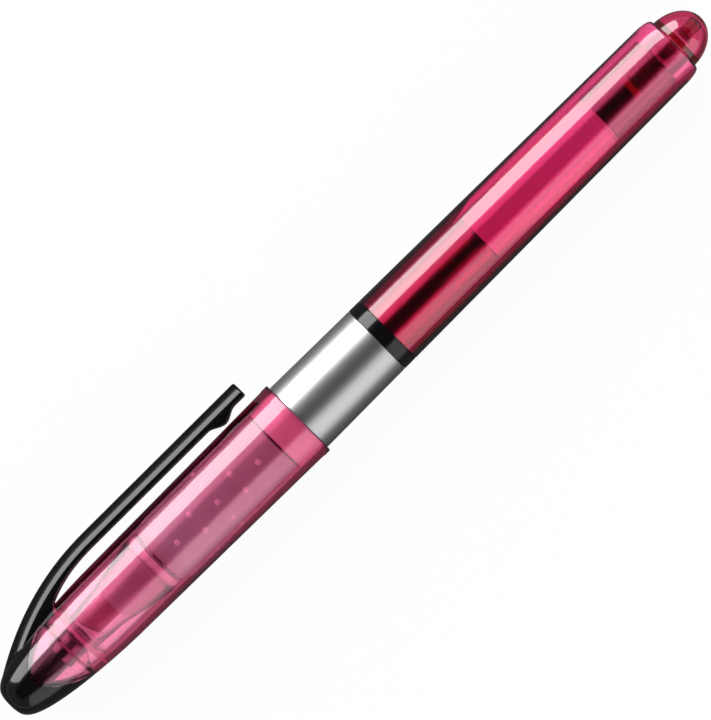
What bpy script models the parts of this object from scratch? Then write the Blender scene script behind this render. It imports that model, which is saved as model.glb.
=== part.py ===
"""A capped liquid-ink highlighter, lying on its side.

The pen lies along X, from the nose of its cap at -X to the dome of its end plug at +X, with the
clip towards +Y. The origin is under the middle of its box, on the surface that it lies on.
Every size below is in millimetres. A station is a distance along the pen from the tip of the nose,
and a radius or a height is measured from the pen's axis.
"""

import math

import bmesh
import bpy
from mathutils import Matrix

MM = 0.001

# Running and fitting clearances
FIT = 0.3                    # between one piece and the piece that seats on it
NUB_CLEARANCE = 0.35         # between the grip's nubs and the bore of the cap

# Cap
CAP_LENGTH = 58.4
CAP_MOUTH_RADIUS = 6.5
CAP_SLOPE = 0.0125           # fall of the radius for each millimetre towards the nose
CAP_MOUTH_WALL = 1.0
CAP_FRONT_WALL = 0.85
BULLET_LENGTH = 20.0         # the front stretch that rounds down to the tip
BULLET_POWER = 1.6
BULLET_BLUNTNESS = 4
BORE_STEP_LENGTH = 0.6
BORE_STEP_BEHIND_GRIP_END = 1.1
WEB_LENGTH = 3.65            # the cap's cross wall, which holds the stud of the nose
SHELL_START = 4.6

# Nose, which is one moulding with the root of the clip
NOSE_EDGE = 5.1              # station of the nose's edge at the middle of its window
SADDLE_SWEEP = 0.22          # how fast that edge sweeps back towards the top and the bottom
TIP_FLAT = 0.05              # length of the nearly flat end of the nose
NOSE_WALL = 0.9
NOSE_FRONT = 3.0
SKIRT_END = 13.0
STUD_RADIUS = 2.0
STUD_START = 1.5

# Clip
CLIP_WIDTH = 4.2
CLIP_THICKNESS = 2.49
CLIP_SLOT = 1.27
CLIP_CHAMFER = 0.8
CLIP_CHAMFER_SHARE = 0.35    # the most of the clip's thickness that the chamfer takes
CLIP_START = 0.8
CLIP_END = 55.3
CLIP_HINGE = 15.05           # station where the arm starts to flex
CLIP_BEND_END = 21.0
CLIP_BEND_DROP = 8.68
CLIP_BEND_POWER = 2.11
CLIP_LIFT_START = 14.4       # station where the underside leaves the cap
CLIP_LIFT_END = 24.7
CLIP_LIFT_POWER = 2.5
CLIP_ROOT_SINK = 0.2         # how far the root sinks into the nose's wall
CLIP_ROOT_UNDER = 10.4
CLIP_ROOT_FLOOR = 5.0
CLIP_END_ROUND = 1.0
CLIP_END_TURN = 75           # degrees that the rounded end turns through
FOOT_FROM_END = 4.9
FOOT_HALF_LENGTH = 2.7

# Inner cap, which closes round the nib
INNER_CAP_WALL = 0.4
INNER_CAP_FRONT_WALL = 0.5
INNER_CAP_FLANGE_LENGTH = 1.25
INNER_CAP_BORE = 2.4
INNER_CAP_NECK = 2.95
INNER_CAP_SHOULDER = 0.6     # wall just behind the flange

# Nib, its holder and the collar behind it
NIB_REACH = 5.85             # from the mouth of the holder to the tip
NIB_WIDTH = 3.5
NIB_THICKNESS = 2.4
NIB_SLANT = 1.25
NIB_ROUND = 0.45
NIB_ROUND_SEGMENTS = 2
CONE_LENGTH = 7.7
CONE_MOUTH_RADIUS = 2.6
CONE_BASE_RADIUS = 4.2
NIB_BORE = 2.2
COLLAR_LENGTH = 1.0
COLLAR_LAP = 0.4             # how far the collar reaches up over the grip's front end
HOLDER_SPIGOT_LENGTH = 5.0

# Front section, with the grip and the metal sleeve round it
GRIP_LENGTH = 23.3
GRIP_WALL = 0.68
GRIP_EDGE = 0.25
NUB_HEIGHT = 0.27
NUB_ROOT_RADIUS = 0.5
NUB_TOP_RADIUS = 0.22
NUB_ROOT_DEPTH = 0.3
NUB_SIDES = 8
NUB_PITCH = 4.07             # along the pen
NUB_TURN = 18.5              # degrees from one row to the next
NUB_DIAMOND = (1, 2, 3, 2, 1)
NUB_CLUSTERS = 3
SEAT_LENGTH = 4.9            # the sleeve's reduced front, which the cap pushes over
SEAT_WALL = 0.45
SLEEVE_LENGTH = 15.3
SLEEVE_BELOW_CAP = 0.59      # step from the cap's mouth down to the sleeve
RING_LENGTH = 2.1
SECTION_BORE = 3.4

# Barrel and end plug
BODY_BELOW_CAP = 0.74        # step from the cap's mouth down to the ring and the barrel
BARREL_LENGTH = 57.7
BARREL_TAPER = 0.48
BARREL_WALL = 0.63
BARREL_END_LENGTH = 2.5
BARREL_END_DROP = 0.63
BARREL_BACK_WALL = 2.0
DOME_LENGTH = 5.3
DOME_RADIUS = 4.24
DOME_WALL = 0.75
DOME_BASE_WALL = 0.8
PLUG_NECK_RADIUS = 3.1
PLUG_NECK_BORE = 2.4
PLUG_NECK_LENGTH = 3.5
POST_RADIUS = 1.1
POST_FLARE_RADIUS = 2.2
POST_FLARE_LENGTH = 1.4
POST_START = 1.5             # from the dome's base

# Ink feed and tank
WICK_RADIUS = 1.5
SPIGOT_LENGTH = 18.3         # the section's rear end, inside the barrel
SHOULDER_LENGTH = 0.3
FIN_COUNT = 8
FIN_SHARE = 0.5              # of each fin's pitch
FIN_ROOT_RADIUS = 2.3
STOPPER_LENGTH = 11.7
STOPPER_FRONT_WALL = 0.4
SLUG_RADIUS = 1.95
SLUG_LENGTH = 5.3
SEAL_LENGTH = 4.55
SEAL_RIBS = 5
SEAL_RIB_SHARE = 0.6
SEAL_GROOVE_DEPTH = 0.25

# Fineness of the round shapes, in steps round the pen and in steps along an outline
OUTER_STEPS = 32
INNER_STEPS = 24
FINE_STEPS = 16
SHELL_OUTLINE_STEPS = 9
WEB_ROOM_STEPS = 3
NOSE_OUTLINE_STEPS = 11
SKIRT_STEPS = 5
CAP_ROOM_STEPS = 10
SADDLE_STEPS = 16
CLIP_ROOT_STEPS = 6
CLIP_NECK_STEPS = 3
CLIP_ARM_STEPS = 8
CLIP_FOOT_STEPS = 8
ROUNDING_STEPS = 4
DOME_STEPS = 8
DOME_ROOM_STEPS = 5

# How the meshes are made
CUTTER_MARGIN = 1.5          # how far a cutter reaches past the cap
MERGE_DISTANCE = 0.000001    # metres
FLAT_ANGLE = 0.5             # degrees under which neighbouring faces count as one
SMOOTH_ANGLE = 35            # degrees under which an edge is shaded smooth

# Stations that follow from the sizes above
SLEEVE_FRONT = CAP_LENGTH + FIT
SLEEVE_REAR = SLEEVE_FRONT + SLEEVE_LENGTH
RING_FRONT = SLEEVE_REAR + FIT
RING_REAR = RING_FRONT + RING_LENGTH
BARREL_FRONT = RING_REAR + FIT
BARREL_REAR = BARREL_FRONT + BARREL_LENGTH
DOME_BASE = BARREL_REAR + FIT
PEN_LENGTH = DOME_BASE + DOME_LENGTH
SEAT_FRONT = SLEEVE_FRONT - SEAT_LENGTH
GRIP_REAR = SEAT_FRONT - FIT
GRIP_FRONT = GRIP_REAR - GRIP_LENGTH
SECTION_FRONT = GRIP_FRONT - FIT
COLLAR_REAR = SECTION_FRONT - FIT
COLLAR_FRONT = COLLAR_REAR - COLLAR_LENGTH
CONE_BASE = COLLAR_FRONT - FIT
CONE_MOUTH = CONE_BASE - CONE_LENGTH
HOLDER_REAR = CONE_BASE + HOLDER_SPIGOT_LENGTH
NIB_TIP = CONE_MOUTH - NIB_REACH
INNER_CAP_INSIDE = NIB_TIP - FIT
INNER_CAP_FRONT = INNER_CAP_INSIDE - INNER_CAP_FRONT_WALL
WEB_REAR = INNER_CAP_FRONT - FIT
WEB_FRONT = WEB_REAR - WEB_LENGTH
SPIGOT_REAR = BARREL_FRONT + SPIGOT_LENGTH
PLUG_NECK_FRONT = DOME_BASE - PLUG_NECK_LENGTH
STOPPER_REAR = PLUG_NECK_FRONT - FIT
STOPPER_FRONT = STOPPER_REAR - STOPPER_LENGTH
SEAL_FRONT = STOPPER_REAR - SEAL_LENGTH
SLUG_FRONT = STOPPER_FRONT + STOPPER_FRONT_WALL + FIT
BORE_STEP = GRIP_FRONT + BORE_STEP_BEHIND_GRIP_END
CLIP_FOOT = CLIP_END - FOOT_FROM_END

# Radii that follow from them
BODY_RADIUS = CAP_MOUTH_RADIUS - BODY_BELOW_CAP
CAP_BORE = CAP_MOUTH_RADIUS - CAP_MOUTH_WALL
SEAT_RADIUS = CAP_BORE - FIT
SLEEVE_BORE = SEAT_RADIUS - SEAT_WALL
SLEEVE_FRONT_RADIUS = CAP_MOUTH_RADIUS - SLEEVE_BELOW_CAP
GRIP_RADIUS = CAP_BORE - NUB_CLEARANCE - NUB_HEIGHT
GRIP_BORE = GRIP_RADIUS - GRIP_WALL
COLLAR_RADIUS = GRIP_BORE + COLLAR_LAP
BARREL_REAR_RADIUS = BODY_RADIUS - BARREL_TAPER
BARREL_BORE = BARREL_REAR_RADIUS - BARREL_WALL
TANK_RADIUS = BARREL_BORE - FIT
FEED_RADIUS = SECTION_BORE - FIT
WICK_BORE = WICK_RADIUS + FIT
SLUG_BORE = SLUG_RADIUS + FIT


def spread(first, last, count):
    """count + 1 values from first to last, both included."""
    return [first + (last - first) * i / count for i in range(count + 1)]


def cap_radius(station):
    """The cap's outside: a slight taper that rounds down to the tip of the nose."""
    line = CAP_MOUTH_RADIUS - CAP_SLOPE * (CAP_LENGTH - station)
    if station >= BULLET_LENGTH:
        return line
    left = 1 - station / BULLET_LENGTH
    return line * (1 - left**BULLET_POWER) ** (1 / BULLET_BLUNTNESS)


def cap_outline(first, last, count):
    """(station, radius) along the cap's outside, from one station to another.

    The rounded front takes count steps, closer together where it turns fastest. The rest is straight.
    """
    def fraction(station):
        left = max(0.0, 1 - station / BULLET_LENGTH)
        return (1 - left**BULLET_POWER) ** (1 / BULLET_BLUNTNESS)

    stations = []
    if first >= BULLET_LENGTH:
        stations.append(first)
    else:
        for share in spread(fraction(first), fraction(last), count):
            left = (1 - share**BULLET_BLUNTNESS) ** (1 / BULLET_POWER)
            stations.append(BULLET_LENGTH * (1 - left))
    if last > BULLET_LENGTH:
        stations.append(last)
    return [(station, cap_radius(station)) for station in stations]


def front_bore(station):
    return cap_radius(station) - CAP_FRONT_WALL


CLIP_INNER_HEIGHT = cap_radius(CLIP_FOOT) + CLIP_SLOT
CLIP_OUTER_HEIGHT = CLIP_INNER_HEIGHT + CLIP_THICKNESS
AXIS_ACROSS = (CAP_MOUTH_RADIUS - CLIP_OUTER_HEIGHT) / 2
AXIS_UP = CAP_MOUTH_RADIUS


def clip_outer(station):
    left = max(0.0, 1 - station / CLIP_BEND_END)
    return CLIP_OUTER_HEIGHT - CLIP_BEND_DROP * left**CLIP_BEND_POWER


def clip_inner(station):
    left = max(0.0, (CLIP_LIFT_END - station) / (CLIP_LIFT_END - CLIP_LIFT_START))
    drop = CLIP_INNER_HEIGHT - cap_radius(CLIP_LIFT_START)
    return CLIP_INNER_HEIGHT - drop * left**CLIP_LIFT_POWER


# ---------------------------------------------------------------- scene and materials

def clear_scene():
    for obj in list(bpy.data.objects):
        bpy.data.objects.remove(obj, do_unlink=True)


def new_collection(name):
    collection = bpy.data.collections.new(name)
    bpy.context.scene.collection.children.link(collection)
    return collection


def linear(red, green, blue):
    """A colour written as 0 to 255 display values, in the linear values that a shader takes."""
    def channel(value):
        value /= 255
        return value / 12.92 if value <= 0.04045 else ((value + 0.055) / 1.055) ** 2.4

    return (channel(red), channel(green), channel(blue), 1.0)


def material(name, colour, roughness=0.3, metallic=0.0, transmission=0.0):
    made = bpy.data.materials.new(name)
    made.use_nodes = True
    shader = made.node_tree.nodes["Principled BSDF"]
    shader.inputs["Base Color"].default_value = linear(*colour)
    shader.inputs["Roughness"].default_value = roughness
    shader.inputs["Metallic"].default_value = metallic
    shader.inputs["Transmission Weight"].default_value = transmission
    made.diffuse_color = linear(*colour)
    return made


clear_scene()
PARTS = new_collection("capped_highlighter")
CUTTERS = new_collection("cutters")

CAP_PINK = material("cap_pink", (247, 120, 165), 0.15, transmission=0.8)
INNER_CLEAR = material("inner_cap_clear", (250, 205, 220), 0.25, transmission=0.6)
BARREL_MAGENTA = material("barrel_magenta", (228, 48, 110), 0.12, transmission=0.8)
GLOSS_BLACK = material("gloss_black", (10, 10, 12), 0.18)
SILVER = material("silver", (205, 205, 208), 0.2, metallic=1.0)
GRIP_GREY = material("grip_grey", (150, 135, 145), 0.6)
FELT_PINK = material("felt_pink", (226, 70, 130), 0.9)
HOLDER_PINK = material("holder_pink", (248, 170, 195), 0.3, transmission=0.3)
SECTION_CRIMSON = material("section_crimson", (140, 20, 55), 0.3)
WICK_CRIMSON = material("wick_crimson", (70, 8, 24), 0.8)
INK_PINK = material("ink_pink", (215, 40, 100), 0.1, transmission=0.7)
RUBBER_BLACK = material("rubber_black", (28, 6, 10), 0.6)
SEAL_CRIMSON = material("seal_crimson", (140, 33, 58), 0.5)


# ---------------------------------------------------------------- shapes

def empty(name, location, rotation=(0.0, 0.0, 0.0), parent=None):
    made = bpy.data.objects.new(name, None)
    made.location = [value * MM for value in location]
    made.rotation_euler = rotation
    made.parent = parent
    PARTS.objects.link(made)
    return made


ALONG_PEN = (math.radians(90), 0.0, math.radians(90))  # turns Z to the pen's length and X to the clip
PEN_ORIGIN = empty("pen_origin", (-PEN_LENGTH / 2, AXIS_ACROSS, AXIS_UP))
PEN_AXIS = empty("pen_axis", (0, 0, 0), ALONG_PEN, PEN_ORIGIN)
CAP_ORIGIN = empty("cap_slide_axis", (0, 0, 0), parent=PEN_ORIGIN)
CAP_AXIS = empty("cap_axis", (0, 0, 0), ALONG_PEN, CAP_ORIGIN)
HINGE_HEIGHT = (clip_outer(CLIP_HINGE) + clip_inner(CLIP_HINGE)) / 2
CLIP_ORIGIN = empty("clip_hinge_axis", (CLIP_HINGE, HINGE_HEIGHT, 0), parent=CAP_ORIGIN)


def place(obj, parent, finish):
    """Puts a piece under its empty, with its material, or a cutter among the cutters."""
    obj.parent = parent
    if finish:
        obj.data.materials.append(finish)
        PARTS.objects.link(obj)
    else:
        obj.hide_render = True
        obj.display_type = "WIRE"
        CUTTERS.objects.link(obj)
    return obj


def smooth(obj):
    obj.data.shade_smooth()
    obj.data.set_sharp_from_angle(angle=math.radians(SMOOTH_ANGLE))


def applied(obj, modifier):
    bpy.context.view_layer.objects.active = obj
    bpy.ops.object.modifier_apply(modifier=modifier.name)


def turned(name, outer, inner, parent, finish=None, steps=OUTER_STEPS):
    """Turns an outline of (station, radius) round the pen's axis. Both sides run front to rear."""
    outline = list(reversed(outer)) + list(inner)
    mesh = bpy.data.meshes.new(name)
    edges = []
    for i in range(len(outline)):
        ends = (i, (i + 1) % len(outline))
        if any(outline[end][1] > 0 for end in ends):
            edges.append(ends)
    mesh.from_pydata([(radius * MM, 0, station * MM) for station, radius in outline], edges, [])
    obj = place(bpy.data.objects.new(name, mesh), parent, finish)
    screw = obj.modifiers.new("turn", "SCREW")
    screw.steps = screw.render_steps = steps
    screw.use_merge_vertices = True
    screw.merge_threshold = MERGE_DISTANCE
    applied(obj, screw)
    smooth(obj)
    return obj


def slab(name, outline, parent, finish=None, half_width=CAP_MOUTH_RADIUS + CUTTER_MARGIN):
    """A flat outline in the X-Y plane, extruded both ways along Z, as one welded mesh."""
    curve = bpy.data.curves.new(name + "_outline", "CURVE")
    curve.dimensions = "2D"
    curve.fill_mode = "BOTH"
    curve.extrude = half_width * MM
    spline = curve.splines.new("POLY")
    spline.points.add(len(outline) - 1)
    for point, (station, height) in zip(spline.points, outline):
        point.co = (station * MM, height * MM, 0, 1)
    spline.use_cyclic_u = True
    flat = bpy.data.objects.new(name + "_outline", curve)
    CUTTERS.objects.link(flat)
    graph = bpy.context.evaluated_depsgraph_get()
    mesh = bpy.data.meshes.new_from_object(flat.evaluated_get(graph))
    bpy.data.objects.remove(flat, do_unlink=True)
    bm = bmesh.new()
    bm.from_mesh(mesh)
    bmesh.ops.remove_doubles(bm, verts=bm.verts, dist=MERGE_DISTANCE)
    bmesh.ops.dissolve_limit(
        bm, angle_limit=math.radians(FLAT_ANGLE), verts=bm.verts, edges=bm.edges
    )
    bmesh.ops.recalc_face_normals(bm, faces=bm.faces)
    bm.to_mesh(mesh)
    bm.free()
    return place(bpy.data.objects.new(name, mesh), parent, finish)


def lofted(name, sections, parent, finish=None, shift=(0.0, 0.0)):
    """Joins sections of equally many points, and closes both ends."""
    bm = bmesh.new()
    rings = [
        [bm.verts.new(((x - shift[0]) * MM, (y - shift[1]) * MM, z * MM)) for x, y, z in section]
        for section in sections
    ]
    for first, second in zip(rings, rings[1:]):
        for i in range(len(first)):
            after = (i + 1) % len(first)
            bm.faces.new((first[i], first[after], second[after], second[i]))
    bm.faces.new(rings[0])
    bm.faces.new(rings[-1])
    bmesh.ops.recalc_face_normals(bm, faces=bm.faces)
    mesh = bpy.data.meshes.new(name)
    bm.to_mesh(mesh)
    bm.free()
    return place(bpy.data.objects.new(name, mesh), parent, finish)


def combine(obj, other, operation):
    boolean = obj.modifiers.new(f"{operation.lower()}_{other.name}", "BOOLEAN")
    boolean.operation = operation
    boolean.object = other


# ---------------------------------------------------------------- cap

def saddle(gap):
    """The outline of everything in front of the nose's swept edge, widened square to it by gap."""
    reach = CAP_MOUTH_RADIUS + CUTTER_MARGIN
    edge = [
        (NOSE_EDGE + SADDLE_SWEEP * y * y + gap * math.hypot(1, 2 * SADDLE_SWEEP * y), y)
        for y in spread(-reach, reach, SADDLE_STEPS)
    ]
    return [(-reach, -reach)] + edge + [(-reach, reach)]


def cap_shell():
    outer = cap_outline(SHELL_START, CAP_LENGTH, SHELL_OUTLINE_STEPS)
    front = [
        (x, r - CAP_FRONT_WALL) for x, r in cap_outline(SHELL_START, WEB_FRONT, WEB_ROOM_STEPS)
    ]
    web = [(WEB_FRONT, STUD_RADIUS + FIT), (WEB_REAR, STUD_RADIUS + FIT)]
    middle = [(x, r - CAP_FRONT_WALL) for x, r in cap_outline(WEB_REAR, BORE_STEP, 1)]
    rear = [(BORE_STEP + BORE_STEP_LENGTH, CAP_BORE), (CAP_LENGTH, CAP_BORE)]
    shell = turned("cap_shell", outer, front + web + middle + rear, CAP_AXIS, CAP_PINK)
    combine(shell, slab("nose_room", saddle(FIT), CAP_ORIGIN), "DIFFERENCE")


def clip_section(station, low, high):
    """One cross-section of the clip, chamfered along the two edges away from the pen."""
    half = CLIP_WIDTH / 2
    cut = min(CLIP_CHAMFER, CLIP_CHAMFER_SHARE * (high - low))
    corners = [
        (low, -half),
        (low, half),
        (high - cut, half),
        (high, half - cut),
        (high, cut - half),
        (high - cut, -half),
    ]
    return [(station, height, across) for height, across in corners]


def clip_root():
    """The part of the clip that is moulded on the nose, up to where the arm flexes."""
    sections = []
    for x in spread(CLIP_START, CLIP_ROOT_UNDER, CLIP_ROOT_STEPS):
        sunk = math.sqrt(cap_radius(x) ** 2 - (CLIP_WIDTH / 2) ** 2) - CLIP_ROOT_SINK
        sections.append(clip_section(x, sunk, clip_outer(x)))
    for x in spread(CLIP_ROOT_UNDER + FIT, CLIP_HINGE - FIT / 2, CLIP_NECK_STEPS):
        sections.append(clip_section(x, CLIP_ROOT_FLOOR, clip_outer(x)))
    return lofted("clip_root", sections, CAP_ORIGIN)


def cap_nose():
    outer = [(0.0, 0.0)] + cap_outline(TIP_FLAT, SKIRT_END, NOSE_OUTLINE_STEPS)
    skirt = [(x, r - NOSE_WALL) for x, r in cap_outline(NOSE_FRONT, SKIRT_END, SKIRT_STEPS)]
    nose = turned("cap_nose", outer, [(NOSE_FRONT, 0.0)] + skirt, CAP_AXIS, GLOSS_BLACK)
    combine(nose, clip_root(), "UNION")

    around = [
        (x, r + FIT) for x, r in cap_outline(NOSE_FRONT, BULLET_LENGTH, CAP_ROOM_STEPS)
    ]
    room = turned(
        "cap_room", [(NOSE_FRONT, 0.0)] + around + [(BULLET_LENGTH, 0.0)], [], CAP_AXIS
    )
    combine(room, slab("nose_region", saddle(0.0), CAP_ORIGIN), "DIFFERENCE")
    combine(nose, room, "DIFFERENCE")

    stud = turned(
        "nose_stud",
        [(STUD_START, 0.0), (STUD_START, STUD_RADIUS), (WEB_REAR, STUD_RADIUS), (WEB_REAR, 0.0)],
        [], CAP_AXIS, steps=INNER_STEPS,
    )
    combine(nose, stud, "UNION")


def inner_cap():
    flange_rear = INNER_CAP_FRONT + INNER_CAP_FLANGE_LENGTH
    flange_radius = front_bore(INNER_CAP_FRONT) - FIT
    neck = CONE_MOUTH - FIT * 2
    rim_bore = CONE_BASE_RADIUS + FIT
    outer = [
        (INNER_CAP_FRONT, 0.0),
        (INNER_CAP_FRONT, flange_radius),
        (flange_rear, flange_radius),
        (flange_rear, INNER_CAP_BORE + INNER_CAP_SHOULDER),
        (neck, INNER_CAP_NECK + INNER_CAP_WALL),
        (CONE_BASE, rim_bore + INNER_CAP_WALL),
    ]
    inner = [
        (INNER_CAP_INSIDE, 0.0),
        (INNER_CAP_INSIDE, INNER_CAP_BORE),
        (neck, INNER_CAP_NECK),
        (CONE_BASE, rim_bore),
    ]
    turned("inner_cap", outer, inner, CAP_AXIS, INNER_CLEAR, INNER_STEPS)


def clip_arm():
    """The clip behind its root, with the foot that bears on the cap near its free end."""
    sections = [
        clip_section(x, clip_inner(x), clip_outer(x))
        for x in spread(CLIP_HINGE + FIT / 2, CLIP_LIFT_END, CLIP_ARM_STEPS)
    ]
    foot_depth = CLIP_INNER_HEIGHT - cap_radius(CLIP_FOOT) - FIT
    for share in spread(-1, 1, CLIP_FOOT_STEPS):
        drop = foot_depth * (0.5 + 0.5 * math.cos(math.pi * share))
        station = CLIP_FOOT + share * FOOT_HALF_LENGTH
        sections.append(clip_section(station, CLIP_INNER_HEIGHT - drop, CLIP_OUTER_HEIGHT))
    middle = (CLIP_OUTER_HEIGHT + CLIP_INNER_HEIGHT) / 2
    for turn in spread(0, CLIP_END_TURN, ROUNDING_STEPS):
        angle = math.radians(turn)
        half = CLIP_THICKNESS / 2 * math.cos(angle)
        back = 1 - math.sin(angle) / math.sin(math.radians(CLIP_END_TURN))
        station = CLIP_END - CLIP_END_ROUND * back
        sections.append(clip_section(station, middle - half, middle + half))
    lofted(
        "clip_arm", sections, CLIP_ORIGIN, GLOSS_BLACK, shift=(CLIP_HINGE, HINGE_HEIGHT)
    )


# ---------------------------------------------------------------- writing end

def nib():
    half = NIB_WIDTH / 2
    rear = HOLDER_REAR - FIT
    outline = [(rear, -half), (rear, half), (NIB_TIP, half), (NIB_TIP + NIB_SLANT, -half)]
    made = slab("nib", outline, PEN_ORIGIN, FELT_PINK, NIB_THICKNESS / 2)
    bevel = made.modifiers.new("rounded_edges", "BEVEL")
    bevel.width = NIB_ROUND * MM
    bevel.segments = NIB_ROUND_SEGMENTS


def nib_holder():
    outer = [
        (CONE_MOUTH, CONE_MOUTH_RADIUS),
        (CONE_BASE, CONE_BASE_RADIUS),
        (CONE_BASE, FEED_RADIUS),
        (HOLDER_REAR, FEED_RADIUS),
    ]
    inner = [(CONE_MOUTH, NIB_BORE), (HOLDER_REAR, NIB_BORE)]
    turned("nib_holder", outer, inner, PEN_AXIS, HOLDER_PINK, INNER_STEPS)


def ring(name, front, rear, radius, bore, finish, steps=OUTER_STEPS):
    outer = [(front, radius), (rear, radius)]
    turned(name, outer, [(front, bore), (rear, bore)], PEN_AXIS, finish, steps)


def front_section():
    """One tube: it holds the feed, carries grip and sleeve, and closes the front of the tank."""
    under_grip = GRIP_BORE - FIT
    under_sleeve = SLEEVE_BORE - FIT
    shoulder = BARREL_FRONT - SHOULDER_LENGTH
    outer = [
        (SECTION_FRONT, under_grip),
        (SEAT_FRONT, under_grip),
        (SEAT_FRONT, under_sleeve),
        (shoulder, under_sleeve),
        (shoulder, TANK_RADIUS),
        (SPIGOT_REAR, TANK_RADIUS),
    ]
    inner = [(SECTION_FRONT, SECTION_BORE), (SPIGOT_REAR, SECTION_BORE)]
    turned("front_section", outer, inner, PEN_AXIS, SECTION_CRIMSON, INNER_STEPS)


def nub_places():
    """(share along the grip, turn in degrees) of each nub, in diamonds spaced round the grip."""
    middle = len(NUB_DIAMOND) // 2
    for cluster in range(NUB_CLUSTERS):
        centre = 90 + cluster * 360 / NUB_CLUSTERS
        for column, count in enumerate(NUB_DIAMOND):
            for row in range(count):
                turn = (row * 2 - (count - 1)) * NUB_TURN
                yield column - middle, centre + turn


def grip_sleeve():
    outer = [
        (GRIP_FRONT, GRIP_RADIUS - GRIP_EDGE),
        (GRIP_FRONT + GRIP_EDGE, GRIP_RADIUS),
        (GRIP_REAR - GRIP_EDGE, GRIP_RADIUS),
        (GRIP_REAR, GRIP_RADIUS - GRIP_EDGE),
    ]
    inner = [(GRIP_FRONT, GRIP_BORE), (GRIP_REAR, GRIP_BORE)]
    grip = turned("grip_sleeve", outer, inner, PEN_AXIS, GRIP_GREY)

    height = NUB_HEIGHT + NUB_ROOT_DEPTH
    centre_radius = GRIP_RADIUS + NUB_HEIGHT - height / 2
    middle = (GRIP_FRONT + GRIP_REAR) / 2
    bm = bmesh.new()
    for column, turn in nub_places():
        along = Matrix.Translation((0, 0, (middle + column * NUB_PITCH) * MM))
        around = Matrix.Rotation(math.radians(turn), 4, "Z")
        out = Matrix.Translation((centre_radius * MM, 0, 0)) @ Matrix.Rotation(math.radians(90), 4, "Y")
        bmesh.ops.create_cone(
            bm, cap_ends=True, segments=NUB_SIDES, radius1=NUB_ROOT_RADIUS * MM,
            radius2=NUB_TOP_RADIUS * MM, depth=height * MM, matrix=along @ around @ out,
        )
    mesh = bpy.data.meshes.new("grip_nubs")
    bm.to_mesh(mesh)
    bm.free()
    nubs = place(bpy.data.objects.new("grip_nubs", mesh), PEN_AXIS, None)
    combine(grip, nubs, "UNION")


def metal_sleeve():
    outer = [
        (SEAT_FRONT, SEAT_RADIUS),
        (SLEEVE_FRONT, SEAT_RADIUS),
        (SLEEVE_FRONT, SLEEVE_FRONT_RADIUS),
        (SLEEVE_REAR, BODY_RADIUS),
    ]
    inner = [(SEAT_FRONT, SLEEVE_BORE), (SLEEVE_REAR, SLEEVE_BORE)]
    turned("metal_sleeve", outer, inner, PEN_AXIS, SILVER)


# ---------------------------------------------------------------- ink feed

def collector():
    """A finned tube that takes up the ink which the wick overfeeds."""
    front = HOLDER_REAR + FIT
    rear = BARREL_FRONT - FIT
    pitch = (rear - front) / FIN_COUNT
    outer = []
    for fin in range(FIN_COUNT):
        start = front + fin * pitch
        groove = start + pitch * FIN_SHARE
        outer += [(start, FEED_RADIUS), (groove, FEED_RADIUS)]
        outer += [(groove, FIN_ROOT_RADIUS), (start + pitch, FIN_ROOT_RADIUS)]
    inner = [(front, WICK_BORE), (rear, WICK_BORE)]
    turned("collector", outer, inner, PEN_AXIS, SECTION_CRIMSON, INNER_STEPS)


def rod(name, front, rear, radius, finish, steps):
    outline = [(front, 0.0), (front, radius), (rear, radius), (rear, 0.0)]
    turned(name, outline, [], PEN_AXIS, finish, steps)


# ---------------------------------------------------------------- barrel and rear end

def barrel():
    start = BARREL_REAR - BARREL_END_LENGTH
    rounded = [
        (
            start + BARREL_END_LENGTH * math.sin(a),
            BARREL_REAR_RADIUS - BARREL_END_DROP * (1 - math.cos(a)),
        )
        for a in spread(0, math.radians(90), ROUNDING_STEPS)
    ]
    back = BARREL_REAR - BARREL_BACK_WALL
    hole = PLUG_NECK_RADIUS + FIT
    inner = [(BARREL_FRONT, BARREL_BORE), (back, BARREL_BORE), (back, hole), (BARREL_REAR, hole)]
    turned("barrel", [(BARREL_FRONT, BODY_RADIUS)] + rounded, inner, PEN_AXIS, BARREL_MAGENTA)


def dome(length, radius, first_angle, last_angle, count):
    return [
        (DOME_BASE + length * math.sin(a), radius * math.cos(a))
        for a in spread(first_angle, last_angle, count)
    ]


def end_plug():
    """The domed plug: a neck in the barrel's end, and a post that stands inside the dome."""
    outside = dome(DOME_LENGTH, DOME_RADIUS, 0, math.radians(90), DOME_STEPS)[:-1] + [(PEN_LENGTH, 0.0)]
    outer = [(PLUG_NECK_FRONT, PLUG_NECK_RADIUS), (DOME_BASE, PLUG_NECK_RADIUS)] + outside
    cavity_length = DOME_LENGTH - DOME_WALL
    cavity_radius = DOME_RADIUS - DOME_WALL
    base_inside = DOME_BASE + DOME_BASE_WALL
    cavity = dome(
        cavity_length, cavity_radius, math.asin(DOME_BASE_WALL / cavity_length),
        math.acos(POST_RADIUS / cavity_radius), DOME_ROOM_STEPS,
    )
    flare = DOME_BASE + POST_START
    post = [
        (
            flare + POST_FLARE_LENGTH * (1 - math.cos(a)),
            POST_RADIUS + (POST_FLARE_RADIUS - POST_RADIUS) * (1 - math.sin(a)),
        )
        for a in spread(math.radians(90), 0, ROUNDING_STEPS)
    ]
    neck = [(PLUG_NECK_FRONT, PLUG_NECK_BORE), (base_inside, PLUG_NECK_BORE)]
    turned("end_plug", outer, neck + cavity + post + [(flare, 0.0)], PEN_AXIS, BARREL_MAGENTA)


def tank_stopper():
    outer = [(STOPPER_FRONT, 0.0), (STOPPER_FRONT, TANK_RADIUS), (STOPPER_REAR, TANK_RADIUS)]
    inside = STOPPER_FRONT + STOPPER_FRONT_WALL
    inner = [(inside, 0.0), (inside, SLUG_BORE), (STOPPER_REAR, SLUG_BORE)]
    turned("tank_stopper", outer, inner, PEN_AXIS, SECTION_CRIMSON, INNER_STEPS)


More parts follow.
